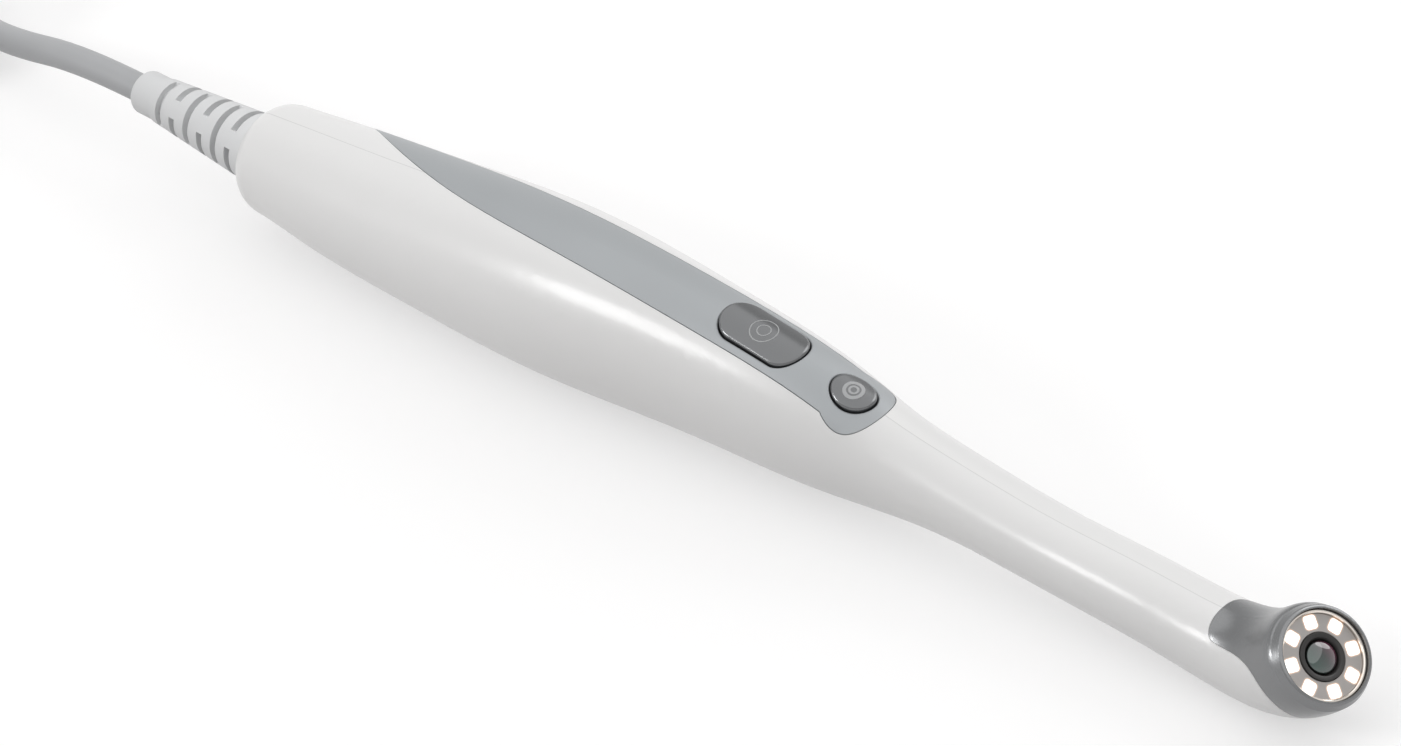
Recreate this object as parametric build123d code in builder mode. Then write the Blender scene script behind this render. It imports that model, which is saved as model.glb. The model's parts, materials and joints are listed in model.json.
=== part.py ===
# Intraoral camera: a pen-shaped wand with two buttons and a lit, tilted lens head, on a coiled lead.
# It lies on its belly on a table, buttons up. +X runs to the head, the table is Z = 0,
# and the origin is below the middle of the wand and its strain relief. Lengths are in millimetres.
import os
from math import atan2, cos, degrees, pi, radians, sin, tan

from build123d import *

os.makedirs("parts", exist_ok=True)

# Wand: distances "s" run forward from the rear face of the handle
head_reach = 195.6
relief_length = 26.1
rear_x = (relief_length - head_reach) / 2
rear_rounding = 3.8

# Sections of the wand: distance s, height of the centre above the table, half width, half height
wand_sections = [
    (0, 10.8, 8.1, 8.1),
    (14, 11.0, 9.1, 9.1),
    (30, 11.2, 10.2, 10.3),
    (48, 11.8, 11.0, 11.6),
    (66, 12.3, 10.9, 12.15),
    (84, 12.4, 9.6, 11.4),
    (100, 11.7, 8.5, 10.5),
    (114, 10.5, 7.0, 8.7),
    (127, 9.5, 5.7, 6.3),
    (141, 8.4, 5.3, 5.3),
    (156, 7.4, 5.3, 5.3),
    (170, 6.4, 5.5, 5.5),
]
neck_start = 120

# Head: the round face leans back from the wand's axis
face_s = 190.6
face_height = 11.5
face_angle = 43.9
rim_radius = 6.7
rim_depth = 0.3
lip_height = 1.3
lip_taper = 21
lip_rounding = 0.45
neck_sections = [(179, 6.2, 6.0, 7.6), (185.6, 8.2, 6.75, 22.9)]
well_radius = 5.8
well_depth = 8.2
channel_end_s = 180
channel_height = 6.4
channel_radius = 3.6
cable_channel_radius = 2.2

# Walls
handle_wall = 2.0
shank_wall = 1.4
rear_wall = 2.2
parting_gap = 0.08
cut_spare = 1

# Head cap: its lower edge seen from the side, as distance s and height, from the back corner round to the chin
cap_back_s = 174.9
cap_corner_height = 11.6
cap_corner_drop = 1.5
cap_corner_radius = 1.7
cap_edge_line = [(181.0, 10.6), (184.6, 10.6)]
cap_chin_line = [(187.4, 8.6), (189.4, 6.0)]
cap_chin_end = (191.2, 1.0)
cap_cut_s = 205
cap_cut_top = 22

# Top panel: its border seen from above, as distance s and side offset y
panel_thickness = 1.1
panel_gap = 0.1
opening_rounding = 0.2
panel_front_s = 119.8
panel_tail = (17.0, 6.6)
panel_near_line = [(28, 2.2), (43.5, -1.7), (56, -3.3), (74, -4.25), (92, -4.5), (112.5, -4.4)]
panel_far_line = [(112.5, 4.4), (92, 4.5), (74, 4.65), (56, 5.3), (36, 6.5)]

# Buttons
capture_s = 99.6
capture_height = 22.1
capture_slope = 9.5
capture_length = 13.6
capture_width = 6.5
power_s = 114.7
power_height = 18.9
power_slope = 14.6
power_length = 6.6
power_width = 5.1
capture_arch = 7.0
power_arch = 5.8
button_proud = 0.45
button_clearance = 0.15
button_rounding = 0.42
flange_depth = 4.3
flange_thickness = 0.6
flange_overlap = 0.8

# Switches and button board
switch_gap = 0.5
switch_length = 3.6
switch_width = 3.0
switch_body_height = 1.0
actuator_radius = 0.9
actuator_height = 0.4
button_board_length = 26
button_board_width = 7.4
button_board_thickness = 0.8

# Main board
board_start = 15
board_length = 70
board_width = 12.4
board_thickness = 1.2
board_top = 11.6
board_end = board_start + board_length
screw_inset = 9
screw_spots = [board_start + screw_inset, board_end - screw_inset]
screw_side = 4.0
screw_radius = 0.8
screw_clearance = 0.15
screw_head_radius = 1.5
screw_head_height = 1.0
screw_length = 5.0
boss_radius = 2.1
rib_thickness = 1.6
rib_inset = 19
main_rib_spots = [board_start + rib_inset, board_end - rib_inset]
button_rib_spacing = 21.5
cable_passage = 4.4

# Light and lens, measured along the face normal from the window's outer surface
lamp_count = 8
lamp_circle = 4.36
lamp_size = 1.2
lamp_height = 0.5
window_thickness = 1.0
ring_wall = 0.4
ring_ledge = 0.25
ring_proud = 0.5
lamp_board_top = 1.7
lamp_board_thickness = 0.6
lamp_board_outer = 5.5
barrel_radius = 3.1
barrel_length = 5.4
barrel_sink = 0.15
lens_radius = 2.1
lens_edge = 0.7
lens_bulge = 0.4
lens_seat = 1.9
spacer_length = 1.2
rear_lens_edge = 1.1
optic_fit = 0.03
sensor_board_top = 6.6
sensor_board_radius = 3.8
sensor_board_thickness = 0.8
sensor_size = 3.4
sensor_height = 0.7
holder_radius = 3.7
holder_top = 3.2
sensor_clearance = 0.1
sensor_ledge = 0.7

# Pieces on the main board: distance from its start, length, width, height
board_pieces = {
    "cord_connector": (3.5, 5.0, 6.4, 2.6),
    "memory": (27, 6.0, 5.0, 0.9),
    "processor": (41, 8.0, 8.0, 1.1),
}
piece_chamfer = 0.15
connector_length = 5
connector_height = 1.6

# Flat cable to the sensor: drops below the connector, then points along the shank
sensor_cable_width = 3.2
cable_thickness = 0.25
cable_bend = 6
cable_drops = [(9, 0.9), (36, 1.2)]
cable_line = [(150, 7.2), (175, 5.9)]
cable_tuck = (0.5, 0.3)

# Strain relief and cord
relief_height = 10.9
relief_tilt = 1.56
relief_root = 5.1
relief_tip = 3.4
collar_radius = 3.2
collar_length = 4.6
slot_count = 6
slot_pitch = 3.2
slot_width = 1.2
slot_first = 3.4
slot_core = 2.7
bridge_width = 2.6
relief_neck = 3.9
relief_flange = 5.2
flange_wall = 1.4
relief_gap = 0.35
relief_fit = 0.1
collar_rounding = 0.8
cord_radius = 2.08
inner_cord_length = 8
clamp_setback = 2
clamp_length = 4
clamp_wall = 1.2
wire_lanes = [-1.5, -0.5, 0.5, 1.5]
wire_pitch = 1.05
wire_radius = 0.35
wire_gap = 0.45

# Cord on the table, folded into a tied hank behind the wand: turns a diameter apart, with one turn more inside
hank_s = -87.25
hank_y = -7.9
hank_run = 80
fold_radius = 12.2
hank_wide = 2
hank_high = 3
tie_thickness = 0.5
tie_width = 9

# Plug
plug_length = 20
plug_width = 15
plug_height = 7.6
plug_nose = 8
shell_length = 12
shell_width = 12
shell_height = 4.5
shell_wall = 0.3
latch_hole = (2.2, 2)
latch_along = 0.55
contact_block_height = 1.9
contact_block_setback = 1
grip_count = 4
grip_pitch = 2.4
grip_width = 1.2
grip_inset = 2.5
grip_depth = 0.4
plug_edge = 0.5
plug_corner = 2


def spot(s, z, y=0):
    return (rear_x + s, y, z)


def side_spot(s, z):
    return (rear_x + s, z)


def crosswise(s, z, angle=0):
    """A plane across the wand; its local y points up and its normal leans up by the angle."""
    normal = (cos(radians(angle)), 0, sin(radians(angle)))
    return Plane(origin=spot(s, z), x_dir=(0, 1, 0), z_dir=normal)


def facing(s, z, slope):
    """A plane on the top of the wand; its normal points out and its local x runs forward and down."""
    angle = radians(slope)
    return Plane(origin=spot(s, z), x_dir=(cos(angle), 0, -sin(angle)), z_dir=(sin(angle), 0, cos(angle)))


face = crosswise(face_s, face_height, face_angle)


def finish(piece, name):
    piece.part.label = name
    export_step(piece.part, f"parts/{name}.step")


def wand_form(grow, with_head=True):
    """The wand's outer form, moved outwards by the given amount."""
    with BuildPart() as form:
        for s, height, half_width, half_height in wand_sections:
            with BuildSketch(crosswise(s, height)):
                Ellipse(half_width + grow, half_height + grow)
        if with_head:
            for s, height, radius, angle in neck_sections:
                with BuildSketch(crosswise(s, height, angle)):
                    Circle(radius + grow)
            with BuildSketch(face.offset(-rim_depth)):
                Circle(rim_radius + grow)
        loft()
    return form.part


def panel_prism(gap):
    """The panel seen from above, drawn in by the gap: a round front, long sides, a tail over the far shoulder."""
    with BuildPart() as prism:
        with BuildSketch(Plane.XY.offset(wand_sections[0][1])):
            with BuildLine():
                tail = (rear_x + panel_tail[0] + 2 * gap, panel_tail[1] - gap)
                near = Spline(tail, *[(rear_x + s, y + gap) for s, y in panel_near_line])
                far = [(rear_x + s, y - gap) for s, y in panel_far_line]
                ThreePointArc(near @ 1, (rear_x + panel_front_s - gap, 0), far[0])
                Spline(*far, tail)
            make_face()
        extrude(amount=2 * wand_sections[0][1])
    return prism.part


def stadium_prism(plane, length, width, low, high):
    """A long round-ended block along a button's travel, between two distances from the panel."""
    with BuildPart() as block:
        with BuildSketch(plane.offset(low)):
            SlotOverall(length, width)
        extrude(amount=high - low)
    return block.part


def oval_prism(plane, length, width, low, high):
    """An oval block along a button's travel, between two distances from the panel."""
    with BuildPart() as block:
        with BuildSketch(plane.offset(low)):
            Ellipse(length / 2, width / 2)
        extrude(amount=high - low)
    return block.part


def cap_prism(gap):
    """The side view of the head cap, moved forward and up by the gap: it hoods the top and front of the head."""
    reach = 2 * rim_radius
    with BuildPart() as prism:
        with BuildSketch(Plane.XZ):
            with BuildLine():
                back_s = cap_back_s + gap
                back = Line(side_spot(back_s, cap_cut_top), side_spot(back_s, cap_corner_height))
                corner_end = side_spot(back_s + cap_corner_radius, cap_corner_height - cap_corner_drop + gap)
                corner = RadiusArc(back @ 1, corner_end, -cap_corner_radius)
                edge = Spline(
                    corner @ 1,
                    *[side_spot(s, z + gap) for s, z in cap_edge_line],
                    *[side_spot(s + gap, z + gap) for s, z in cap_chin_line],
                    side_spot(cap_chin_end[0] + gap, cap_chin_end[1]),
                )
                cut_corners = [side_spot(cap_cut_s, cap_chin_end[1]), side_spot(cap_cut_s, cap_cut_top)]
                Polyline(edge @ 1, *cut_corners, back @ 0)
            make_face()
        extrude(amount=reach, both=True)
    return prism.part


def face_disc(radius, low, high):
    """A round block on the face's axis, between two distances from the window's outer surface."""
    with BuildPart() as disc:
        with BuildSketch(face.offset(low)):
            Circle(radius)
        extrude(amount=high - low)
    return disc.part


# The wand's outer skin, and the floor below the panel
outer_blank = wand_form(0)
floor_blank = wand_form(-panel_thickness, with_head=False)
capture_plane = facing(capture_s, capture_height, capture_slope)
power_plane = facing(power_s, power_height, power_slope)
wide = 2 * button_clearance
switch_height = switch_body_height + actuator_height
board_depth = flange_depth + flange_thickness + switch_gap + switch_height
board_rear = (capture_plane * Pos(0, 0, -board_depth)).position
board_front = (power_plane * Pos(0, 0, -board_depth)).position
board_slope = degrees(atan2(board_rear.Z - board_front.Z, board_front.X - board_rear.X))
board_middle = (board_rear + board_front) / 2
button_board_plane = facing(board_middle.X - rear_x, board_middle.Z, board_slope)
capture_hole = stadium_prism(capture_plane, capture_length + wide, capture_width + wide, -flange_depth, flange_depth)
power_hole = oval_prism(power_plane, power_length + wide, power_width + wide, -flange_depth, flange_depth)

# Outer form with its raised lip round the face
with BuildPart() as outer_form:
    add(outer_blank)
    with BuildSketch(face.offset(-rim_depth)):
        Circle(rim_radius)
    extrude(amount=lip_height, taper=lip_taper)
    fillet(outer_form.faces().sort_by(Axis(face.origin, face.z_dir))[-1].edges(), lip_rounding)
    fillet(outer_form.faces().sort_by(Axis.X)[0].edges(), rear_rounding)

# Hollow inside the handle and shank, as far as the optics
with BuildPart() as hollow_form:
    for s, height, half_width, half_height in wand_sections:
        wall = handle_wall if s < neck_start else shank_wall
        with BuildSketch(crosswise(s + (rear_wall if s == 0 else 0), height)):
            Ellipse(half_width - wall, half_height - wall)
    with BuildSketch(crosswise(channel_end_s, channel_height)):
        Circle(channel_radius)
    loft()

# Stepped well behind the face: lamps and window, then lens and sensor, then room for the cable
with BuildPart() as well_form:
    add(face_disc(well_radius, -lamp_board_top - lamp_board_thickness, 2 * lip_height))
    add(face_disc(sensor_board_radius + sensor_clearance, -sensor_board_top - sensor_board_thickness, 0))
    add(face_disc(sensor_board_radius - sensor_ledge, -well_depth, 0))
    with BuildSketch(crosswise(channel_end_s - 4, channel_height - 0.2)):
        Circle(cable_channel_radius)
    extrude(amount=9.5)

# Ribs that carry the two boards, and the bosses for the board screws
board_bottom = board_top - board_thickness
with BuildPart() as ribs:
    with BuildSketch(Plane.XY.offset(board_bottom)):
        for rib_s in main_rib_spots:
            with Locations((rear_x + rib_s, 0)):
                Rectangle(rib_thickness, 2 * wand_sections[3][2])
    extrude(amount=-board_bottom)
    with BuildSketch(Plane.XY.offset(board_bottom)):
        for screw_s in screw_spots:
            with Locations((rear_x + screw_s, screw_side)):
                Circle(boss_radius)
                Circle(screw_radius, mode=Mode.SUBTRACT)
    extrude(amount=-board_bottom)
    with BuildSketch(button_board_plane.offset(-button_board_thickness)):
        with GridLocations(button_rib_spacing, 0, 2, 1):
            Rectangle(rib_thickness, 2 * wand_sections[6][2])
    extrude(amount=-board_bottom)
    with BuildSketch(Plane.XY):
        Rectangle(2 * head_reach, cable_passage)
    extrude(amount=2 * board_top, mode=Mode.SUBTRACT)
    add(outer_blank, mode=Mode.INTERSECT)

# Housing before it is cut in two
with BuildPart() as housing:
    add(outer_form.part)
    add(hollow_form.part, mode=Mode.SUBTRACT)
    add(well_form.part, mode=Mode.SUBTRACT)
    add(cap_prism(0), mode=Mode.SUBTRACT)
with BuildPart() as panel_seat:
    add(outer_blank)
    add(floor_blank, mode=Mode.SUBTRACT)
    add(panel_prism(0), mode=Mode.INTERSECT)
with BuildPart() as housing_shell:
    add(housing.part)
    add(panel_seat.part, mode=Mode.SUBTRACT)
    add(capture_hole, mode=Mode.SUBTRACT)
    add(power_hole, mode=Mode.SUBTRACT)
    with BuildSketch(crosswise(0, relief_height).offset(-cut_spare)):
        Circle(relief_neck + relief_fit)
    extrude(amount=rear_wall + 2 * cut_spare, mode=Mode.SUBTRACT)
    add(ribs.part)

with BuildPart() as top_panel:
    add(panel_seat.part)
    add(panel_prism(panel_gap), mode=Mode.INTERSECT)
    for hole, plane, length, width in (
        (capture_hole, capture_plane, capture_length, capture_width),
        (power_hole, power_plane, power_length, power_width),
    ):
        add(hole, mode=Mode.SUBTRACT)
        skin = [one for one in top_panel.faces() if one.geom_type == GeomType.BSPLINE and one.normal_at().Z > 0]
        rims = [plane.to_local_coords(rim.center()) for one in skin for rim in one.edges()]
        around = [rim for one in skin for rim in one.edges()]
        around = [rim for rim, at in zip(around, rims) if abs(at.X) < length / 2 + wide and abs(at.Y) < width / 2 + wide]
        fillet(around, opening_rounding)
finish(top_panel, "top_panel")

with BuildPart() as head_cap:
    add(outer_form.part)
    add(cap_prism(parting_gap), mode=Mode.INTERSECT)
    add(hollow_form.part, mode=Mode.SUBTRACT)
    add(well_form.part, mode=Mode.SUBTRACT)
finish(head_cap, "head_cap")

for name, side in (("left_housing", Keep.BOTTOM), ("right_housing", Keep.TOP)):
    with BuildPart() as half:
        add(housing_shell.part)
        split(bisect_by=Plane.XZ, keep=side)
    finish(half, name)

# Buttons: a crown arched like the panel, a shaft, and a flange that stops below the wall
def button(plane, length, width, prism, arch):
    with BuildPart() as piece:
        with BuildSketch(Plane(plane.origin, x_dir=plane.y_dir, z_dir=plane.x_dir)):
            with Locations((0, button_proud - arch)):
                Circle(arch)
        extrude(amount=length, both=True)
        add(prism(plane, length, width, -flange_depth, flange_depth), mode=Mode.INTERSECT)
        rim = piece.faces().sort_by(Axis(plane.origin, plane.z_dir))[-1].edges()
        fillet(rim, button_rounding)
        flange_length = length + 2 * flange_overlap
        flange_width = width + 2 * flange_overlap
        add(prism(plane, flange_length, flange_width, -flange_depth - flange_thickness, -flange_depth))
    return piece


capture_button = button(capture_plane, capture_length, capture_width, stadium_prism, capture_arch)
finish(capture_button, "capture_button")
power_button = button(power_plane, power_length, power_width, oval_prism, power_arch)
finish(power_button, "power_button")

# Button board and its two switches, which stand under the buttons
with BuildPart() as button_board:
    with BuildSketch(button_board_plane):
        RectangleRounded(button_board_length, button_board_width, 0.8)
    extrude(amount=-button_board_thickness)
finish(button_board, "button_board")
for name, under in (("capture_switch", board_rear), ("power_switch", board_front)):
    along = button_board_plane.to_local_coords(under).X
    with BuildPart() as switch:
        with BuildSketch(button_board_plane):
            with Locations((along, 0)):
                RectangleRounded(switch_length, switch_width, 0.4)
        extrude(amount=switch_body_height)
        with BuildSketch(button_board_plane.offset(switch_body_height)):
            with Locations((along, 0)):
                Circle(actuator_radius)
        extrude(amount=actuator_height)
    finish(switch, name)

# Main board with its chips and connectors, screwed to the bosses
with BuildPart() as main_board:
    with BuildSketch(Plane.XY.offset(board_bottom)):
        with Locations((rear_x + board_start + board_length / 2, 0)):
            RectangleRounded(board_length, board_width, 1.2)
        with Locations(*[(rear_x + screw_s, screw_side) for screw_s in screw_spots]):
            Circle(screw_radius + screw_clearance, mode=Mode.SUBTRACT)
    extrude(amount=board_thickness)
finish(main_board, "main_board")
for name, (along, length, width, height) in board_pieces.items():
    with BuildPart() as chip:
        with BuildSketch(Plane.XY.offset(board_top)):
            with Locations((rear_x + board_start + along, 0)):
                Rectangle(length, width)
        extrude(amount=height)
        chamfer(chip.faces().sort_by(Axis.Z)[-1].edges(), piece_chamfer)
    finish(chip, name)
with BuildPart() as cable_connector:
    with BuildSketch(Plane.XY.offset(board_bottom)):
        with Locations((rear_x + board_end - connector_length / 2, 0)):
            Rectangle(connector_length, sensor_cable_width + 1)
    extrude(amount=-connector_height)
finish(cable_connector, "cable_connector")
with BuildPart() as board_screws:
    for screw_s in screw_spots:
        with BuildSketch(Plane.XY.offset(board_top)):
            with Locations((rear_x + screw_s, screw_side)):
                Circle(screw_head_radius)
        extrude(amount=screw_head_height)
        with BuildSketch(Plane.XY.offset(board_top)):
            with Locations((rear_x + screw_s, screw_side)):
                Circle(screw_radius)
        extrude(amount=-screw_length)
finish(board_screws, "board_screws")

# Light: a ring board with its lamps under a ring window, held by a bright ring
board_floor = -lamp_board_top - lamp_board_thickness
with BuildPart() as lamp_board:
    with BuildSketch(face.offset(board_floor)):
        Circle(lamp_board_outer)
        Circle(barrel_radius + optic_fit, mode=Mode.SUBTRACT)
    extrude(amount=lamp_board_thickness)
finish(lamp_board, "lamp_board")
with BuildPart() as lamps:
    with BuildSketch(face.offset(-lamp_board_top)):
        with PolarLocations(lamp_circle, lamp_count, start_angle=180 / lamp_count):
            RectangleRounded(lamp_size, lamp_size, 0.25)
    extrude(amount=lamp_height)
finish(lamps, "lamps")
ring_outer = well_radius - optic_fit
ring_inner = ring_outer - ring_wall
with BuildPart() as bezel_ring:
    with BuildSketch(face.offset(-lamp_board_top)):
        Circle(ring_outer)
        Circle(ring_inner - ring_ledge, mode=Mode.SUBTRACT)
    extrude(amount=lamp_board_top - window_thickness)
    with BuildSketch(face.offset(-window_thickness)):
        Circle(ring_outer)
        Circle(ring_inner, mode=Mode.SUBTRACT)
    extrude(amount=window_thickness + ring_proud)
    chamfer(bezel_ring.faces().sort_by(Axis(face.origin, face.z_dir))[-1].edges(), 0.12)
finish(bezel_ring, "bezel_ring")
with BuildPart() as light_window:
    with BuildSketch(face.offset(-window_thickness)):
        Circle(ring_inner - optic_fit)
        Circle(barrel_radius + optic_fit, mode=Mode.SUBTRACT)
    extrude(amount=window_thickness)
finish(light_window, "light_window")


def turned(points):
    """A piece turned about the face's axis from its half profile of (radius, distance) points."""
    with BuildPart() as piece:
        with BuildSketch(Plane(origin=face.origin, x_dir=face.x_dir, z_dir=-face.y_dir)):
            with BuildLine():
                Polyline(*points, close=True)
            make_face()
        revolve(axis=Axis(face.origin, face.z_dir))
    return piece


# Lens barrel with its flared mouth, and the lens stack inside
seat = -lens_seat
spacer_low = seat - spacer_length
rear_low = spacer_low - rear_lens_edge
bore = lens_radius + optic_fit
lens_barrel = turned([
    (barrel_radius, -barrel_sink),
    (barrel_radius - 0.25, -barrel_sink),
    (bore, seat + lens_edge + 0.1),
    (bore, rear_low - optic_fit),
    (bore - 0.6, rear_low - optic_fit),
    (bore - 0.6, -barrel_length),
    (barrel_radius, -barrel_length),
])
finish(lens_barrel, "lens_barrel")
with BuildPart() as front_lens:
    with BuildSketch(Plane(origin=face.origin, x_dir=face.x_dir, z_dir=-face.y_dir)):
        with BuildLine():
            dome = ThreePointArc(
                (0, seat + lens_edge + lens_bulge),
                (lens_radius / 2, seat + lens_edge + 0.76 * lens_bulge),
                (lens_radius, seat + lens_edge),
            )
            Polyline(dome @ 1, (lens_radius, seat), (0, seat), dome @ 0)
        make_face()
    revolve(axis=Axis(face.origin, face.z_dir))
finish(front_lens, "front_lens")
lens_spacer = turned([
    (lens_radius, seat),
    (lens_radius - 0.7, seat),
    (lens_radius - 0.7, spacer_low),
    (lens_radius, spacer_low),
])
finish(lens_spacer, "lens_spacer")
rear_lens = turned([(0, spacer_low), (lens_radius, spacer_low), (lens_radius, rear_low), (0, rear_low)])
finish(rear_lens, "rear_lens")
holder = turned([
    (barrel_radius + optic_fit, -holder_top),
    (holder_radius, -holder_top),
    (holder_radius, -sensor_board_top),
    (holder_radius - 0.5, -sensor_board_top),
    (holder_radius - 0.5, -barrel_length),
    (barrel_radius + optic_fit, -barrel_length),
])
finish(holder, "lens_holder")
with BuildPart() as image_sensor:
    with BuildSketch(face.offset(-sensor_board_top)):
        Rectangle(sensor_size, sensor_size)
    extrude(amount=sensor_height)
finish(image_sensor, "image_sensor")
with BuildPart() as sensor_board:
    with BuildSketch(face.offset(-sensor_board_top)):
        Circle(sensor_board_radius)
    extrude(amount=-sensor_board_thickness)
finish(sensor_board, "sensor_board")

# Flat cable from the main board through the shank to the sensor board
cable_start = board_bottom - connector_height / 2
sensor_back = face.offset(-sensor_board_top - sensor_board_thickness).origin
with BuildPart() as sensor_cable:
    with BuildSketch(Plane.XZ):
        with BuildLine():
            FilletPolyline(
                side_spot(board_end, cable_start),
                *[side_spot(board_end + along, cable_start - drop) for along, drop in cable_drops],
                *[side_spot(s, z) for s, z in cable_line],
                (sensor_back.X - cable_tuck[0], sensor_back.Z - cable_tuck[1]),
                radius=cable_bend,
            )
        trace(line_width=cable_thickness)
    extrude(amount=sensor_cable_width / 2, both=True)
finish(sensor_cable, "sensor_cable")

# Strain relief: a tapered, slotted sleeve with a collar, whose flange sits behind the housing's rear wall
tilt = radians(relief_tilt)
relief_root_plane = Plane(origin=spot(0, relief_height), x_dir=(0, 1, 0), z_dir=(-cos(tilt), 0, sin(tilt)))
taper_end = relief_length - collar_length
flange_at = -rear_wall - relief_gap
with BuildPart() as strain_relief:
    with BuildSketch(Plane(relief_root_plane.origin, x_dir=(0, 1, 0), z_dir=-relief_root_plane.y_dir)):
        with BuildLine():
            Polyline(
                (0, flange_at - flange_wall),
                (relief_flange, flange_at - flange_wall),
                (relief_flange, flange_at),
                (relief_neck, flange_at),
                (relief_neck, relief_gap),
                (relief_root, relief_gap),
                (relief_tip, taper_end),
                (collar_radius, taper_end),
                (collar_radius, relief_length),
                (0, relief_length),
                close=True,
            )
        make_face()
    revolve(axis=Axis(relief_root_plane.origin, relief_root_plane.z_dir))
    for index in range(slot_count):
        with BuildSketch(relief_root_plane.offset(slot_first + index * slot_pitch)):
            Circle(relief_root + 1)
            Circle(slot_core, mode=Mode.SUBTRACT)
            Rectangle(3 * relief_root, bridge_width, rotation=45 + 90 * index, mode=Mode.SUBTRACT)
        extrude(amount=slot_width / 2, both=True, mode=Mode.SUBTRACT)
    end_rim = strain_relief.faces().filter_by(GeomType.PLANE).sort_by(Axis.X)[0].edges()
    fillet(end_rim, collar_rounding)
finish(strain_relief, "strain_relief")

# Cord end inside the handle, its clamp, and the four wires to the board
inner_face = relief_root_plane.offset(flange_at - flange_wall)
with BuildPart() as cord_end:
    with BuildSketch(inner_face):
        Circle(cord_radius)
    extrude(amount=-inner_cord_length)
finish(cord_end, "cord_end")
with BuildPart() as cord_clamp:
    with BuildSketch(inner_face.offset(-clamp_setback)):
        Circle(cord_radius + clamp_wall)
        Circle(cord_radius + 0.02, mode=Mode.SUBTRACT)
    extrude(amount=-clamp_length)
finish(cord_clamp, "cord_clamp")
wire_start = inner_face.offset(-inner_cord_length).origin
wire_end = (rear_x + board_start + board_pieces["cord_connector"][0] - board_pieces["cord_connector"][1] / 2 - wire_gap,
            board_top + board_pieces["cord_connector"][3] / 2)
with BuildPart() as lead_wires:
    for lane in wire_lanes:
        with BuildSketch(Plane.XZ.offset(-lane * wire_pitch)):
            with BuildLine():
                Line((wire_start.X + wire_gap, wire_start.Z), wire_end)
            trace(line_width=2 * wire_radius)
        extrude(amount=wire_radius, both=True)
finish(lead_wires, "lead_wires")

# Cord: out of the collar, down to the table and into the hank
turn_pitch = 2 * cord_radius
fold_inner = fold_radius - cord_radius
fold_outer = fold_inner + hank_wide * turn_pitch
hank_front = rear_x + hank_s
hank_back = hank_front - hank_run
outer_lane = hank_y + fold_outer - cord_radius
lowest_turn = tie_thickness + cord_radius
highest_turn = lowest_turn + hank_high * turn_pitch
cord_exit = relief_root_plane.offset(relief_length).origin
cord_points = [
    tuple(cord_exit),
    (rear_x - 39.5, 0, 12.0),
    (rear_x - 57.4, 0, 8.2),
    (hank_front + 16.0, outer_lane - 4.8, 4.0),
    (hank_front + 5.5, outer_lane - 0.6, lowest_turn),
    (hank_front - 4.5, outer_lane, lowest_turn),
]
plug_rear = (hank_front - 32.0, hank_y, plug_height / 2)
tail_points = [
    (hank_back, hank_y - fold_radius, highest_turn),
    (hank_back + 10.0, hank_y - fold_radius + 0.6, highest_turn),
    (hank_back + 21.0, hank_y - 6.6, highest_turn - 3.6),
    (hank_back + 35.0, hank_y - 1.2, plug_rear[2] + 2.4),
    plug_rear,
]


def corner_radii(points):
    """Each arc as large as its two runs allow: 0.45 of the shorter run over the tangent of half the turn."""
    radii = []
    for before, here, after in zip(points, points[1:], points[2:]):
        inward = Vector(*here) - Vector(*before)
        outward = Vector(*after) - Vector(*here)
        half_turn = radians(inward.get_angle(outward)) / 2
        radii.append(0.45 * min(inward.length, outward.length) / tan(half_turn))
    return radii


def cord_tube(points, name):
    radii = corner_radii(points)
    print(name, "radii", [round(radius, 1) for radius in radii])
    with BuildPart() as tube:
        with BuildLine():
            route = FilletPolyline(*points, radius=radii)
        with BuildSketch(Plane(origin=route @ 0, z_dir=route % 0)):
            Circle(cord_radius)
        sweep()
    length = route.length
    print(name, "length", round(length, 1), "volume ratio", round(tube.part.volume / (pi * cord_radius**2 * length), 4))
    finish(tube, name)
    return length


cord_run = cord_tube(cord_points, "cord")
tail_run = cord_tube(tail_points, "cord_tail")


def hank_ring(wide, high):
    """A long ring that so many turns fill, inside measured outwards and from the tie up."""
    with BuildPart() as ring:
        with BuildSketch(Plane.XY.offset(tie_thickness)):
            with Locations(((hank_front + hank_back) / 2, hank_y)):
                SlotCenterToCenter(hank_run, 2 * (fold_inner + wide * turn_pitch))
                SlotCenterToCenter(hank_run, 2 * fold_inner, mode=Mode.SUBTRACT)
        extrude(amount=high * turn_pitch)
        fillet(ring.edges(), cord_radius * 0.9)
    return ring.part


with BuildPart() as cord_coil:
    add(hank_ring(hank_wide, hank_high))
    add(hank_ring(1, hank_high + 1))
finish(cord_coil, "cord_coil")
turn_lengths = [2 * hank_run + 2 * pi * (fold_radius + lane * turn_pitch) for lane in range(hank_wide)]
last_turn = hank_run + pi * fold_radius
hank_length = hank_high * sum(turn_lengths) + last_turn
print("cord length", round(cord_run + hank_length + tail_run), "mm")

# Tie: a strap round the middle of the hank
shoulder = tie_thickness + hank_high * turn_pitch
top_half = fold_inner + turn_pitch
tie_corners = [(-fold_outer, tie_thickness), (fold_outer, tie_thickness), (fold_outer, shoulder),
               (top_half, shoulder + turn_pitch), (-top_half, shoulder + turn_pitch), (-fold_outer, shoulder)]
with BuildPart() as cord_tie:
    with BuildSketch(Plane.YZ.offset((hank_front + hank_back - tie_width) / 2)):
        with Locations((hank_y, 0)):
            with BuildSketch(mode=Mode.PRIVATE) as wrapped:
                Polygon(*tie_corners, align=None)
                fillet(wrapped.vertices(), cord_radius * 0.9)
            with BuildSketch(mode=Mode.PRIVATE) as strap:
                add(wrapped.sketch)
                offset(amount=tie_thickness)
            add(strap.sketch)
            add(wrapped.sketch, mode=Mode.SUBTRACT)
    extrude(amount=tie_width)
finish(cord_tie, "cord_tie")

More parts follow.
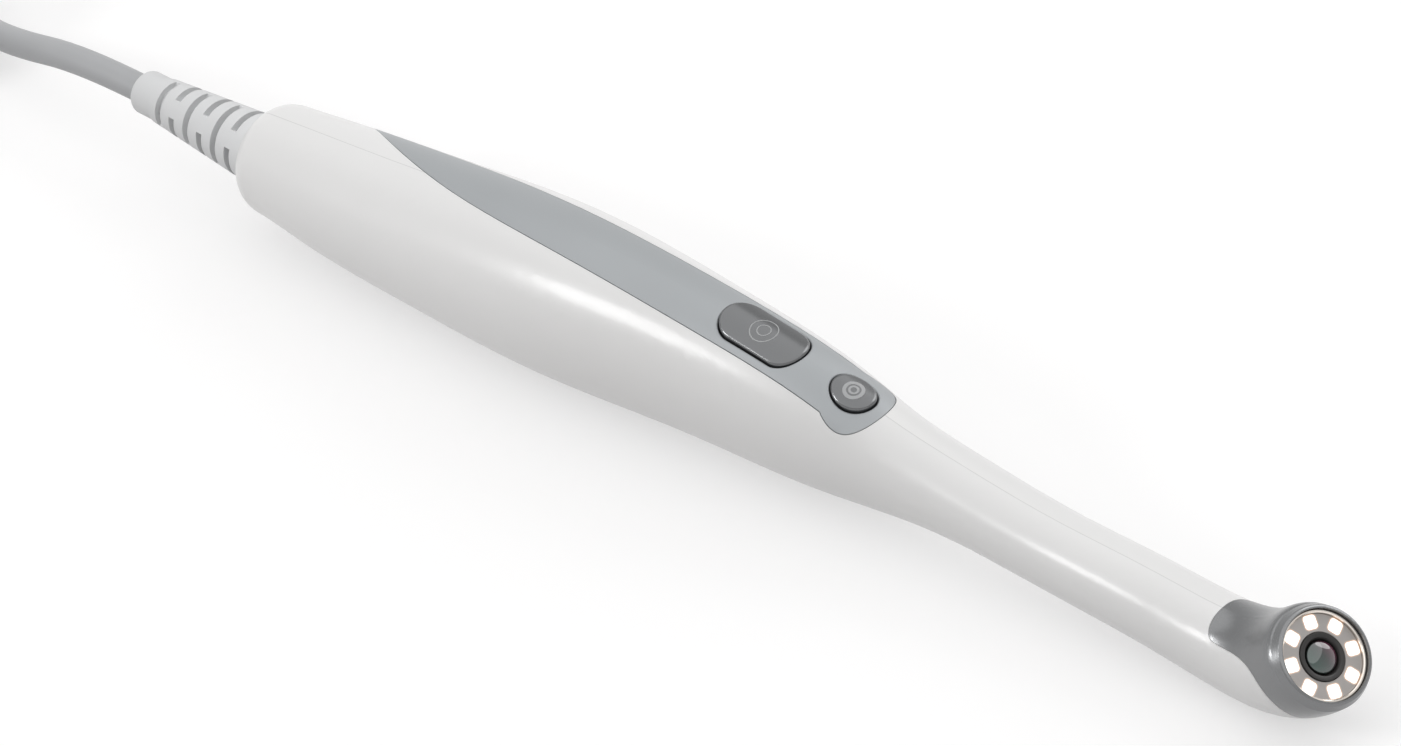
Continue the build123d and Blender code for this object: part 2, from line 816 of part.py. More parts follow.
# Plug: a moulded body with a tapered nose round the cord, its metal shell and the contact block inside
plug_plane = Plane(origin=plug_rear, x_dir=(0, 1, 0), z_dir=(1, 0, 0))
with BuildPart() as plug_body:
    with BuildSketch(plug_plane):
        Circle(cord_radius + 0.5)
    with BuildSketch(plug_plane.offset(plug_nose)):
        RectangleRounded(plug_width - 2 * plug_corner, plug_height - plug_edge, plug_corner)
    loft()
    with BuildSketch(plug_plane.offset(plug_nose)):
        RectangleRounded(plug_width, plug_height, plug_corner)
    extrude(amount=plug_length)
    chamfer(plug_body.faces().sort_by(Axis.X)[-1].edges(), plug_edge)
    grip_middle = (plug_rear[0] + plug_nose + plug_length / 2, plug_rear[1])
    for way in (1, -1):
        with BuildSketch(Plane.XY.offset(plug_rear[2] + way * plug_height / 2)):
            with Locations(grip_middle):
                with GridLocations(grip_pitch, 0, grip_count, 1):
                    Rectangle(grip_width, plug_width - 2 * grip_inset)
        extrude(amount=-way * grip_depth, mode=Mode.SUBTRACT)
finish(plug_body, "plug_body")
shell_plane = plug_plane.offset(plug_nose + plug_length)
with BuildPart() as plug_shell:
    with BuildSketch(shell_plane):
        Rectangle(shell_width, shell_height)
        Rectangle(shell_width - 2 * shell_wall, shell_height - 2 * shell_wall, mode=Mode.SUBTRACT)
    extrude(amount=shell_length)
    with BuildSketch(Plane.XY.offset(plug_rear[2])):
        with Locations((shell_plane.origin.X + latch_along * shell_length, plug_rear[1])):
            with GridLocations(0, shell_width / 2, 1, 2):
                Rectangle(*latch_hole)
    extrude(amount=shell_height, both=True, mode=Mode.SUBTRACT)
finish(plug_shell, "plug_shell")
with BuildPart() as plug_contacts:
    with BuildSketch(shell_plane):
        with Locations((0, -(shell_height - contact_block_height) / 2 + shell_wall)):
            Rectangle(shell_width - 2 * shell_wall, contact_block_height)
    extrude(amount=shell_length - contact_block_setback)
finish(plug_contacts, "plug_contacts")
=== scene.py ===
# Looks for the intraoral camera: finishes, lit face, lens, button signs, the tied lead and a plain studio.
import json
from math import cos, pi, radians, sin

import bmesh
import bpy
from mathutils import Matrix, Vector
from mathutils.bvhtree import BVHTree


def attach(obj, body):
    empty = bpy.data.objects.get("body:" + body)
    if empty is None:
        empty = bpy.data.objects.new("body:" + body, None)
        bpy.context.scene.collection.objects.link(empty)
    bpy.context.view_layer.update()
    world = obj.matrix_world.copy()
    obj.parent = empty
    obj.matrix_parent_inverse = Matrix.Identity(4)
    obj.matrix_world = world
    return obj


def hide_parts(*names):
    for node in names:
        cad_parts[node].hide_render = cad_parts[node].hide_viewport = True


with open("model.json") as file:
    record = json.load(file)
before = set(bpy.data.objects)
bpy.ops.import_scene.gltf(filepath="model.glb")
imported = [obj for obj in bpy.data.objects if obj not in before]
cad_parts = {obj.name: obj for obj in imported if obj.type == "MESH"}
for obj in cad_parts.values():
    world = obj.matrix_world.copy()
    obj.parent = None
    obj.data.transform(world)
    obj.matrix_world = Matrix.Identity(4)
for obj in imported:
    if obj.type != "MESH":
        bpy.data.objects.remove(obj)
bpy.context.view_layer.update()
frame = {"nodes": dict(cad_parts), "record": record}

nodes = frame["nodes"]
scene = bpy.context.scene
mm = 0.001

# Camera at the photograph's angle, plain light and a pale floor
studio = {
    "cameraPlace": (0.4978, -0.3769, 0.5058),
    "azimuth": 52.883,
    "elevation": 38.522,
    "roll": -13.685,
    "lens": 157.41,
    "floorSize": 6.0,
    "floorColour": (0.55, 0.545, 0.545),
    "floorGlow": 0.48,  # added where the camera or a reflection looks at the floor
    "worldLight": 0.22,
    "skyLow": 1.0,  # how bright the surroundings look in reflections, at the horizon and overhead
    "skyHigh": 0.5,
    "lamps": [
        # name, place, aimed at, size, watts
        ("softAbove", (0.10, 0.10, 1.20), (0.1, 0.1, 0.0), 3.0, 18.5),
        ("softLeft", (-0.60, -0.75, 0.55), (0.0, 0.0, 0.0), 0.30, 3.2),
        ("softBehind", (0.15, 0.85, 0.50), (0.0, 0.0, 0.0), 0.8, 3.0),
    ],
}


def makeCamera(setup):
    data = bpy.data.cameras.new("photoCamera")
    data.lens = setup["lens"]
    data.sensor_width = 36
    data.clip_start = 0.01
    camera = bpy.data.objects.new("photoCamera", data)
    scene.collection.objects.link(camera)
    turn = Matrix.Rotation(radians(setup["azimuth"]), 4, "Z")
    turn = turn @ Matrix.Rotation(radians(90 - setup["elevation"]), 4, "X")
    turn = turn @ Matrix.Rotation(radians(setup["roll"]), 4, "Z")
    camera.matrix_world = Matrix.Translation(setup["cameraPlace"]) @ turn
    scene.camera = camera


def makeLights(setup):
    for name, place, target, size, watts in setup["lamps"]:
        data = bpy.data.lights.new(name, "AREA")
        data.shape = "DISK"
        data.size = size
        data.energy = watts
        lamp = bpy.data.objects.new(name, data)
        scene.collection.objects.link(lamp)
        lamp.location = place
        lamp.rotation_euler = (Vector(target) - Vector(place)).to_track_quat("-Z", "Y").to_euler()


# 1 for rays from the camera, a reflection or glass, otherwise 0
def seenRays(tree):
    path = tree.nodes.new("ShaderNodeLightPath")
    result = path.outputs["Is Camera Ray"]
    for name in ("Is Glossy Ray", "Is Transmission Ray"):
        most = tree.nodes.new("ShaderNodeMath")
        most.operation = "MAXIMUM"
        tree.links.new(result, most.inputs[0])
        tree.links.new(path.outputs[name], most.inputs[1])
        result = most.outputs[0]
    return result


def makeWorld(setup):
    world = bpy.data.worlds.new("paleWorld")
    scene.world = world
    world.use_nodes = True
    tree = world.node_tree
    ground = tree.nodes["Background"]
    ground.inputs["Color"].default_value = (1, 1, 1, 1)
    coords = tree.nodes.new("ShaderNodeTexCoord")
    split = tree.nodes.new("ShaderNodeSeparateXYZ")
    sky = tree.nodes.new("ShaderNodeMapRange")
    sky.inputs["To Min"].default_value = setup["skyLow"]
    sky.inputs["To Max"].default_value = setup["skyHigh"]
    choice = tree.nodes.new("ShaderNodeMix")
    choice.inputs["A"].default_value = setup["worldLight"]
    tree.links.new(coords.outputs["Generated"], split.inputs[0])
    tree.links.new(split.outputs["Z"], sky.inputs["Value"])
    tree.links.new(seenRays(tree), choice.inputs["Factor"])
    tree.links.new(sky.outputs["Result"], choice.inputs["B"])
    tree.links.new(choice.outputs["Result"], ground.inputs["Strength"])


def makeFloor(setup):
    half = setup["floorSize"] / 2
    mesh = bpy.data.meshes.new("floor")
    mesh.from_pydata([(-half, -half, 0), (half, -half, 0), (half, half, 0), (-half, half, 0)], [], [(0, 1, 2, 3)])
    floor = bpy.data.objects.new("floor", mesh)
    scene.collection.objects.link(floor)
    material = bpy.data.materials.new("palePaper")
    material.use_nodes = True
    tree = material.node_tree
    shader = tree.nodes["Principled BSDF"]
    shader.inputs["Base Color"].default_value = (*setup["floorColour"], 1)
    shader.inputs["Roughness"].default_value = 0.9
    shader.inputs["Specular IOR Level"].default_value = 0.1
    shader.inputs["Emission Color"].default_value = (1, 1, 1, 1)
    glow = tree.nodes.new("ShaderNodeMath")
    glow.operation = "MULTIPLY"
    glow.inputs[1].default_value = setup["floorGlow"]
    tree.links.new(seenRays(tree), glow.inputs[0])
    tree.links.new(glow.outputs[0], shader.inputs["Emission Strength"])
    mesh.materials.append(material)


makeCamera(studio)
makeLights(studio)
makeWorld(studio)
makeFloor(studio)
scene.view_settings.view_transform = "Standard"
print("camera, lights and floor are in place")

# Cord: out of the sleeve, down to the table, into the tied hank and back to its plug, in mm
cordLook = {
    "radius": 2.08,
    "length": 1.73,
    "lead": [(-110.84, 0, 11.61), (-124.25, 0, 12.0), (-142.15, 0, 8.2), (-156.0, 3.66, 4.0), (-166.5, 7.86, 2.58)],
    "foldCentres": (-172.0, -252.0),
    "middle": -7.9,
    # half width and height of each turn, from the first to the last
    "lanes": [(16.36, 2.58), (12.2, 2.58), (12.2, 6.74), (16.36, 6.74), (16.36, 10.9), (12.2, 10.9), (12.2, 15.06)],
    # where in each turn the cord takes the next lane, so that it doesn't cut the turn beside or below it
    "steps": [(13.06, 14.46), (12.67, 13.2), (11.36, 12.09), (10.29, 11.27), (9.31, 10.57), (8.99, 9.45)],
    "sidePoints": 4,
    "foldPoints": 4,
    "tail": [(-244.0, -18.9, 15.3), (-236.0, -14.9, 14.6), (-228.0, -11.4, 11.5), (-217.0, -8.7, 6.0),
             (-204.0, -7.9, 3.8)],
    "smoothness": 8,
    "sides": 6,
}


def smoothShare(value, low, high):
    share = min(1.0, max(0.0, (value - low) / (high - low)))
    return share * share * (3 - 2 * share)


# Points of the hank's turns: far side, back fold, near side, front fold, and on to the next lane
def hankPoints(look):
    front, back = look["foldCentres"]
    side, fold = look["sidePoints"], look["foldPoints"]
    perTurn = 2 * (side + fold)
    grow = 1 / cos(pi / (2 * fold))
    points = []
    for index in range(len(look["steps"]) * perTurn + side + fold):
        turn, station = divmod(index, perTurn)
        radius, height = look["lanes"][turn]
        if turn < len(look["steps"]):
            share = smoothShare(station + 0.5, *look["steps"][turn])
            radius += (look["lanes"][turn + 1][0] - radius) * share
            height += (look["lanes"][turn + 1][1] - height) * share
        half, place = divmod(station, side + fold)
        way = 1 if half == 0 else -1
        if place < side:
            along = (place + 0.5) / side
            x = front + (back - front) * (along if half == 0 else 1 - along)
            y = way * radius
        else:
            angle = pi * (place - side + 0.5) / fold
            x = (back if half == 0 else front) - way * radius * grow * sin(angle)
            y = way * radius * grow * cos(angle)
        points.append((x, look["middle"] + y, height))
    return points


def makeCord(look):
    line = look["lead"] + hankPoints(look) + look["tail"]
    curve = bpy.data.curves.new("tiedCord", "CURVE")
    curve.dimensions = "3D"
    spline = curve.splines.new("NURBS")
    spline.points.add(len(line) - 1)
    for point, place in zip(spline.points, line):
        point.co = (*[value * mm for value in place], 1)
    spline.order_u = 3
    spline.use_endpoint_u = True
    spline.resolution_u = look["smoothness"]
    curve.bevel_depth = look["radius"] * mm
    curve.bevel_resolution = look["sides"]
    curve.use_fill_caps = True
    piece = bpy.data.objects.new("tiedCord", curve)
    scene.collection.objects.link(piece)
    return piece


cord = makeCord(cordLook)
print("cord is laid")


# Helpers for finishes
def newFinish(name, colour, roughness, metallic=0.0, coat=0.0, coatRoughness=0.05, specular=0.5):
    material = bpy.data.materials.new(name)
    material.use_nodes = True
    shader = material.node_tree.nodes["Principled BSDF"]
    shader.inputs["Base Color"].default_value = (*colour, 1)
    shader.inputs["Roughness"].default_value = roughness
    shader.inputs["Metallic"].default_value = metallic
    shader.inputs["Coat Weight"].default_value = coat
    shader.inputs["Coat Roughness"].default_value = coatRoughness
    shader.inputs["Specular IOR Level"].default_value = specular
    return material


def addNode(material, kind, **values):
    node = material.node_tree.nodes.new("ShaderNode" + kind)
    for key, value in values.items():
        setattr(node, key, value)
    return node


def join(material, output, target):
    material.node_tree.links.new(output, target)


def shaderOf(material):
    return material.node_tree.nodes["Principled BSDF"]


# Object coordinates, centred, turned and stretched on a piece
def placeOf(material, centre=(0, 0, 0), turn=(0, 0, 0), stretch=(1, 1, 1)):
    coords = addNode(material, "TexCoord")
    mapping = addNode(material, "Mapping", vector_type="TEXTURE")
    mapping.inputs["Location"].default_value = centre
    mapping.inputs["Rotation"].default_value = turn
    mapping.inputs["Scale"].default_value = stretch
    join(material, coords.outputs["Object"], mapping.inputs["Vector"])
    return mapping.outputs["Vector"]


def splitOf(material, vector):
    split = addNode(material, "SeparateXYZ")
    join(material, vector, split.inputs[0])
    return split.outputs


def maths(material, operation, first, second=None):
    node = addNode(material, "Math", operation=operation)
    for slot, value in enumerate((first, second)):
        if value is None:
            continue
        if isinstance(value, (int, float)):
            node.inputs[slot].default_value = value
        else:
            join(material, value, node.inputs[slot])
    return node.outputs[0]


def hypot(material, first, second):
    return maths(material, "SQRT", maths(material, "ADD", maths(material, "MULTIPLY", first, first),
                                         maths(material, "MULTIPLY", second, second)))


def noiseAt(material, vector, scale, detail=3.0):
    noise = addNode(material, "TexNoise")
    noise.inputs["Scale"].default_value = scale
    noise.inputs["Detail"].default_value = detail
    join(material, vector, noise.inputs["Vector"])
    return noise.outputs["Fac"]


def spread(material, value, low, high, fromLow=0.3, fromHigh=0.7):
    span = addNode(material, "MapRange")
    span.inputs["From Min"].default_value = fromLow
    span.inputs["From Max"].default_value = fromHigh
    span.inputs["To Min"].default_value = low
    span.inputs["To Max"].default_value = high
    join(material, value, span.inputs["Value"])
    return span.outputs["Result"]


# A colour between two, each a plain colour or a node's output
def tint(material, share, first, second):
    mix = addNode(material, "Mix", data_type="RGBA")
    for slot, colour in ((6, first), (7, second)):
        if isinstance(colour, (tuple, list)):
            mix.inputs[slot].default_value = (*colour, 1)
        else:
            join(material, colour, mix.inputs[slot])
    join(material, share, mix.inputs[0])
    return mix.outputs[2]


def addBump(material, height, strength, distance):
    bump = addNode(material, "Bump")
    bump.inputs["Strength"].default_value = strength
    bump.inputs["Distance"].default_value = distance
    join(material, height, bump.inputs["Height"])
    join(material, bump.outputs["Normal"], shaderOf(material).inputs["Normal"])


# Colour that varies a little, uneven gloss and a fine moulded or sprayed grain
def grainFinish(name, look):
    colour = look["colour"]
    material = newFinish(name, colour, look["roughness"], look.get("metallic", 0), look.get("coat", 0),
                         look.get("coatRoughness", 0.05), look.get("specular", 0.5))
    shader = shaderOf(material)
    place = placeOf(material, stretch=look.get("stretch", (1, 1, 1)))
    cloudy = noiseAt(material, place, look.get("cloudScale", 60), 2)
    vary = look.get("vary", 0.03)
    first = tuple(value * (1 - vary) for value in colour)
    second = tuple(min(1, value * (1 + vary)) for value in colour)
    result = tint(material, spread(material, cloudy, 0, 1), first, second)
    # parting line: the seam is real, and its dark line along y = 0 is painted shade of its fine groove
    if "partingLine" in look:
        away = maths(material, "ABSOLUTE", splitOf(material, placeOf(material))["Y"])
        line = spread(material, away, look["partingPaintedShade"], 0, look["partingLine"] * 0.5, look["partingLine"])
        result = tint(material, line, result, (0, 0, 0))
    join(material, result, shader.inputs["Base Color"])
    fine = noiseAt(material, place, look["grainScale"], 2)
    rough = look["roughness"]
    join(material, spread(material, fine, rough * 0.9, min(1, rough * 1.1)), shader.inputs["Roughness"])
    addBump(material, fine, look.get("bump", 0.1), look.get("depth", 0.01 * mm))
    return material


finishes = {
    "white_shell": {"colour": (0.80, 0.795, 0.79), "roughness": 0.32, "coat": 0.2, "coatRoughness": 0.15,
                    "grainScale": 2500, "bump": 0.04, "vary": 0.008, "partingLine": 0.07 * mm, "partingPaintedShade": 0.22},
    "panel": {"colour": (0.375, 0.392, 0.405), "roughness": 0.44, "metallic": 0.30, "grainScale": 9000, "bump": 0.10,
              "vary": 0.015},
    "button": {"colour": (0.165, 0.168, 0.172), "roughness": 0.22, "metallic": 0.9, "grainScale": 9000, "bump": 0.12,
               "vary": 0.03},
    "cap": {"colour": (0.215, 0.218, 0.222), "roughness": 0.25, "metallic": 0.9, "grainScale": 7000, "bump": 0.2,
            "vary": 0.03},
    "bright_ring": {"colour": (0.80, 0.74, 0.68), "roughness": 0.16, "metallic": 1.0, "grainScale": 5000,
                    "bump": 0.05, "vary": 0.02},
    "relief": {"colour": (0.69, 0.695, 0.70), "roughness": 0.62, "grainScale": 6000, "bump": 0.25, "vary": 0.03},
    "cord": {"colour": (0.40, 0.405, 0.415), "roughness": 0.48, "grainScale": 7000, "bump": 0.2, "vary": 0.04},
    "plug": {"colour": (0.33, 0.335, 0.345), "roughness": 0.58, "grainScale": 4000, "bump": 0.4, "vary": 0.04},
    "steel": {"colour": (0.64, 0.64, 0.63), "roughness": 0.26, "metallic": 1.0, "grainScale": 3000, "bump": 0.12,
              "stretch": (8, 1, 1), "vary": 0.04},
    "lamp_board": {"colour": (0.72, 0.71, 0.68), "roughness": 0.5, "grainScale": 3000, "bump": 0.1},
    "chip": {"colour": (0.03, 0.03, 0.034), "roughness": 0.4, "grainScale": 8000, "bump": 0.3, "vary": 0.1},
    "board": {"colour": (0.02, 0.16, 0.07), "roughness": 0.35, "coat": 0.4, "grainScale": 900, "bump": 0.3,
              "vary": 0.2},
    "flat_cable": {"colour": (0.55, 0.30, 0.08), "roughness": 0.3, "coat": 0.5, "grainScale": 1200, "bump": 0.1,
                   "stretch": (6, 1, 1), "vary": 0.15},
    "switch": {"colour": (0.06, 0.06, 0.06), "roughness": 0.5, "grainScale": 6000, "bump": 0.2},
    "connector": {"colour": (0.80, 0.78, 0.72), "roughness": 0.45, "grainScale": 4000, "bump": 0.2},
    "wire": {"colour": (0.45, 0.06, 0.05), "roughness": 0.45, "grainScale": 3000, "bump": 0.1, "vary": 0.1},
    "tie": {"colour": (0.035, 0.035, 0.038), "roughness": 0.85, "grainScale": 2500, "bump": 0.8, "depth": 0.05 * mm,
            "vary": 0.2},
    "contact_block": {"colour": (0.82, 0.82, 0.80), "roughness": 0.4, "grainScale": 4000, "bump": 0.1},
    "sign": {"colour": (0.36, 0.365, 0.37), "roughness": 0.5, "metallic": 0.3, "grainScale": 8000, "bump": 0.1},
    "pinGold": {"colour": (0.85, 0.62, 0.25), "roughness": 0.22, "metallic": 1.0, "grainScale": 3000, "bump": 0.05},
}
finish = {name: grainFinish(name + "Finish", look) for name, look in finishes.items()}

# The lit face: its middle, its lean from upright, and the lamps' glow with its orange halo, painted as emission on the
# window's own face
faceLook = {
    "middle": (105.85 * mm, 0, 11.5 * mm),
    "lean": 43.9,
    "lampCircle": 4.36 * mm,
    "lampHalf": 0.84 * mm,
    "lampCorner": 0.42 * mm,
    "lampCount": 8,
    "lampEdge": 0.03 * mm,
    "lampColour": (1.0, 0.975, 0.945),
    "lampStrength": 1.25,
    # painted orange halo of glow round each lamp square on the window's face
    "paintedHaloColour": (1.0, 0.60, 0.36),
    "paintedHaloStrength": 0.80,
    "paintedHaloReach": 0.28 * mm,
    "windowColour": (0.40, 0.375, 0.36),
    "windowRoughness": 0.34,
    "windowMetallic": 0.65,
}
lean = radians(faceLook["lean"])
# columns: to the left hand, up the face, out of the face, middle
faceAxes = Matrix((
    (0, -sin(lean), cos(lean), faceLook["middle"][0]),
    (1, 0, 0, 0),
    (0, cos(lean), sin(lean), faceLook["middle"][2]),
    (0, 0, 0, 1),
))


def facePlace(material):
    return placeOf(material, faceLook["middle"], tuple(faceAxes.to_3x3().to_euler("XYZ")))


# How far a point of the face lies outside the core of the nearest lamp's rounded square
def lampDistance(material, look):
    split = splitOf(material, facePlace(material))
    angle = maths(material, "ARCTAN2", split["Y"], split["X"])
    radius = hypot(material, split["X"], split["Y"])
    sector = 2 * pi / look["lampCount"]
    # angle from the middle of the nearest lamp: the first stands half a sector round
    within = maths(material, "SUBTRACT", maths(material, "FLOORED_MODULO", angle, sector), sector / 2)
    along = maths(material, "ABSOLUTE", maths(material, "MULTIPLY", radius, maths(material, "SINE", within)))
    across = maths(material, "MULTIPLY", radius, maths(material, "COSINE", within))
    across = maths(material, "ABSOLUTE", maths(material, "SUBTRACT", across, look["lampCircle"]))
    core = look["lampHalf"] - look["lampCorner"]
    outAlong = maths(material, "MAXIMUM", maths(material, "SUBTRACT", along, core), 0.0)
    outAcross = maths(material, "MAXIMUM", maths(material, "SUBTRACT", across, core), 0.0)
    return hypot(material, outAlong, outAcross)


# Window: warm grey metal with painted light, the lamps' lit squares and their orange halos glowing as emission on its
# face
def windowFinish(look):
    material = newFinish("windowPaintedGlow", look["windowColour"], look["windowRoughness"], look["windowMetallic"], 0.5, 0.08)
    shader = shaderOf(material)
    distance = lampDistance(material, look)
    edge, corner = look["lampEdge"], look["lampCorner"]
    # painted glow: the lamps' squares lit on the window's face
    lit = spread(material, distance, 1, 0, corner - edge, corner + edge)
    # painted halo: orange glow spreading round each square on the window
    rim = spread(material, distance, 1, 0, corner, corner + look["paintedHaloReach"])
    rim = maths(material, "MULTIPLY", maths(material, "MULTIPLY", rim, rim), look["paintedHaloStrength"])
    strength = maths(material, "MAXIMUM", maths(material, "MULTIPLY", lit, look["lampStrength"]), rim)
    join(material, strength, shader.inputs["Emission Strength"])
    join(material, tint(material, lit, look["paintedHaloColour"], look["lampColour"]), shader.inputs["Emission Color"])
    patch = noiseAt(material, facePlace(material), 900, 2)
    dark = tuple(value * 0.96 for value in look["windowColour"])
    plain = tint(material, spread(material, patch, 0, 1), dark, look["windowColour"])
    # the painted lamp squares also get a pale base colour
    join(material, tint(material, lit, plain, (0.8, 0.78, 0.75)), shader.inputs["Base Color"])
    addBump(material, noiseAt(material, facePlace(material), 7000, 2), 0.1, 0.01 * mm)
    return material


def lampFinish(look):
    material = newFinish("litLamp", look["lampColour"], 0.4)
    shader = shaderOf(material)
    shader.inputs["Emission Strength"].default_value = look["lampStrength"]
    patch = noiseAt(material, facePlace(material), 1500, 1)
    glow = tint(material, spread(material, patch, 0, 1), look["lampColour"], (1.0, 0.985, 0.96))
    join(material, glow, shader.inputs["Emission Color"])
    return material


# Barrel: black with fine turned rings round the lens
barrelLook = {
    "colour": (0.015, 0.0135, 0.0125),
    "roughness": 0.40,
    "ringPitch": 0.14 * mm,
    "ringDepth": 0.012 * mm,
    # radius and height over the window's face, in mm, round the ring set into the barrel's flared mouth
    "mouth": [(3.04, -0.40), (3.04, 0.10), (2.96, 0.18), (2.50, 0.18), (2.44, 0.14), (2.12, -0.38), (2.12, -1.0),
              (2.20, -1.0)],
}


def barrelFinish(look):
    material = newFinish("turnedBlack", look["colour"], look["roughness"])
    split = splitOf(material, facePlace(material))
    radius = hypot(material, split["X"], split["Y"])
    rings = maths(material, "SINE", maths(material, "MULTIPLY", radius, 2 * pi / look["ringPitch"]))
    addBump(material, rings, 0.25, look["ringDepth"])
    patch = noiseAt(material, facePlace(material), 3000, 2)
    light = tuple(value * 1.3 for value in look["colour"])
    join(material, tint(material, spread(material, patch, 0, 1), look["colour"], light),
         shaderOf(material).inputs["Base Color"])
    return material


# Front lens: a coated dome whose coating reflections are painted into its colour, green to one side and magenta to the
# other
lensLook = {
    "glass": (0.010, 0.020, 0.018),
    "green": (0.008, 0.075, 0.052),
    "magenta": (0.120, 0.014, 0.050),
    "rim": (0.004, 0.004, 0.004),
    "width": 1.9 * mm,
    "index": 1.65,
    "radius": 2.10,
    "rimHeight": -0.34,
    "topHeight": 0.42,
    "seatHeight": -1.88,
    "rings": 10,
}


def lensFinish(look):
    material = newFinish("coatedLensPaintedReflection", look["glass"], 0.05, coat=1.0, coatRoughness=0.03)
    shader = shaderOf(material)
    shader.inputs["IOR"].default_value = look["index"]
    shader.inputs["Coat IOR"].default_value = look["index"]
    split = splitOf(material, facePlace(material))
    # painted coating reflection: one tint on one side, the other tint on the other side, plain glass between
    side = spread(material, split["X"], 0, 1, -look["width"], look["width"])
    ramp = addNode(material, "ValToRGB")
    ramp.color_ramp.interpolation = "B_SPLINE"
    first, last = ramp.color_ramp.elements
    first.color, last.color = (*look["green"], 1), (*look["magenta"], 1)
    for position in (0.42, 0.60):
        ramp.color_ramp.elements.new(position).color = (*look["glass"], 1)
    join(material, side, ramp.inputs["Fac"])
    radius = hypot(material, split["X"], split["Y"])
    outer = spread(material, radius, 0, 1, look["radius"] * 0.90 * mm, look["radius"] * 0.98 * mm)
    join(material, tint(material, outer, ramp.outputs["Color"], look["rim"]), shader.inputs["Base Color"])
    return material


finish["window"] = windowFinish(faceLook)
finish["lamp"] = lampFinish(faceLook)
finish["barrel"] = barrelFinish(barrelLook)
finish["lens"] = lensFinish(lensLook)
print("finishes are mixed")


def newPiece(name, mesh, material):
    mesh.materials.append(material)
    piece = bpy.data.objects.new(name, mesh)
    scene.collection.objects.link(piece)
    return piece


# A closed shape turned about the face's axis from (radius, height) points in mm
def turnOnFace(name, outline, closed, material, steps=96):
    shape = bmesh.new()
    loops = []
    for radius, height in outline:
        if radius < 1e-6:
            loops.append([shape.verts.new(faceAxes @ Vector((0, 0, height * mm)))])
            continue
        loops.append([shape.verts.new(faceAxes @ Vector((radius * mm * cos(2 * pi * step / steps),
                                                          radius * mm * sin(2 * pi * step / steps), height * mm)))
                      for step in range(steps)])
    pairs = list(zip(loops, loops[1:] + loops[:1])) if closed else list(zip(loops, loops[1:]))
    for lower, upper in pairs:
        for step in range(steps):
            after = (step + 1) % steps
            corners = [lower[step % len(lower)], lower[after % len(lower)],
                       upper[after % len(upper)], upper[step % len(upper)]]
            shape.faces.new(list(dict.fromkeys(corners)))
    bmesh.ops.recalc_face_normals(shape, faces=shape.faces)
    mesh = bpy.data.meshes.new(name)
    shape.to_mesh(mesh)
    shape.free()
    mesh.polygons.foreach_set("use_smooth", [True] * len(mesh.polygons))
    mesh.set_sharp_from_angle(angle=radians(35))
    return newPiece(name, mesh, material)


def makeLens(look):
    dome = []
    for ring in range(look["rings"] + 1):
        angle = pi / 2 * ring / look["rings"]
        dome.append((look["radius"] * cos(angle),
                     look["rimHeight"] + (look["topHeight"] - look["rimHeight"]) * sin(angle)))
    dome[-1] = (0, look["topHeight"])
    outline = [(0, look["seatHeight"]), (look["radius"], look["seatHeight"])] + dome
    piece = turnOnFace("frontDome", outline, False, finish["lens"])
    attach(piece, "wand")
    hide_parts("front_lens")


def makeMouth(look):
    piece = turnOnFace("barrelMouth", look["mouth"], True, finish["barrel"])
    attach(piece, "wand")


makeLens(lensLook)
makeMouth(barrelLook)
print("lens and its mouth are turned")

# Signs on the buttons: plain rings laid on the crowned tops, in mm
signLook = {
    "captureSign": {"node": "capture_button", "middle": (14.85, 0, 22.1), "slope": 9.5,
                    "rings": [(0.84, 0.98), (1.80, 1.94)]},
    "powerSign": {"node": "power_button", "middle": (29.95, 0, 18.9), "slope": 14.6,
                  "rings": [(0.42, 0.72), (0.98, 1.46)]},
}
signProud = 0.02
signSunk = 0.04


def makeSign(name, look):
    source = nodes[look["node"]].data
    skin = BVHTree.FromPolygons([vertex.co for vertex in source.vertices],
                                [polygon.vertices for polygon in source.polygons])
    slope = radians(look["slope"])
    along, out = Vector((cos(slope), 0, -sin(slope))), Vector((sin(slope), 0, cos(slope)))
    across = Vector((0, 1, 0))
    middle = Vector(look["middle"])
    shape = bmesh.new()
    steps = 96
    for inner, outer in look["rings"]:
        sections = []
        for step in range(steps):
            angle = 2 * pi * step / steps
            way = along * cos(angle) + across * sin(angle)
            section = []
            for radius, lift in ((inner, -signSunk), (inner, signProud), (outer, signProud), (outer, -signSunk)):
                start = (middle + way * radius + out * 3) * mm
                hit = skin.ray_cast(start, -out)[0]
                section.append(shape.verts.new(hit + out * lift * mm))
            sections.append(section)
        for first, second in zip(sections, sections[1:] + sections[:1]):
            for side in range(4):
                after = (side + 1) % 4
                shape.faces.new((first[side], first[after], second[after], second[side]))
    bmesh.ops.recalc_face_normals(shape, faces=shape.faces)
    mesh = bpy.data.meshes.new(name)
    shape.to_mesh(mesh)
    shape.free()
    piece = newPiece(name, mesh, finish["sign"])
    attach(piece, look["node"])


for name, look in signLook.items():
    makeSign(name, look)
print("buttons are signed")

# Gold strips on the plug's contact block
pinLook = {
    "Start": (-168.9 * mm, -11.35 * mm, 3.72 * mm),
    "Step": (0, 2.3 * mm, 0),
    "Count": 4,
    "Length": 7.2 * mm,
    "Width": 1.1 * mm,
    "Corner": 0.3 * mm,
    "Thickness": 0.15 * mm,
}


